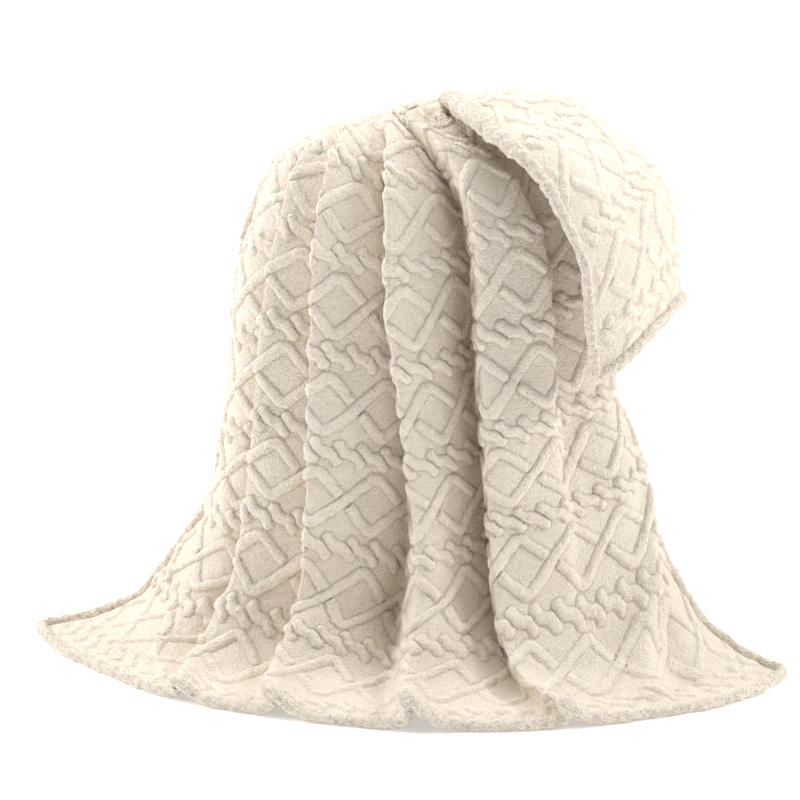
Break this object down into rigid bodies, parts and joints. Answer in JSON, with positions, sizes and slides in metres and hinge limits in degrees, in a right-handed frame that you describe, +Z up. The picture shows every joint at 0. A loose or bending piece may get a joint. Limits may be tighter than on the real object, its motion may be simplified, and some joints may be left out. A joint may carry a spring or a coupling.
{
  "type": "draped_throw_blanket",
  "caption": "Cream throw blanket with a carved diamond and braid pile, draped in pleats over a rounded form, one corner brought over the shoulder, hem spread on the floor",
  "frame": {"origin": "on the floor, below the middle of the throw's bounding box", "axes": "+Z up, +X to the viewer's right along the widest spread of the hem, the pleated front faces -Y"},
  "size_m": [1.0296, 0.6138, 0.7563],
  "materials": {
    "carved_plush": "matte",
    "sherpa_backing": "matte",
    "hem_plush": "matte",
    "label_tape": "satin"
  },
  "bodies": {
    "root": {"face_cloth": "carved_plush", "backing_cloth": "sherpa_backing", "front_hem": "hem_plush", "rear_hem": "hem_plush", "left_hem": "hem_plush", "right_hem": "hem_plush", "care_label": "label_tape"}
  },
  "joints": []
}
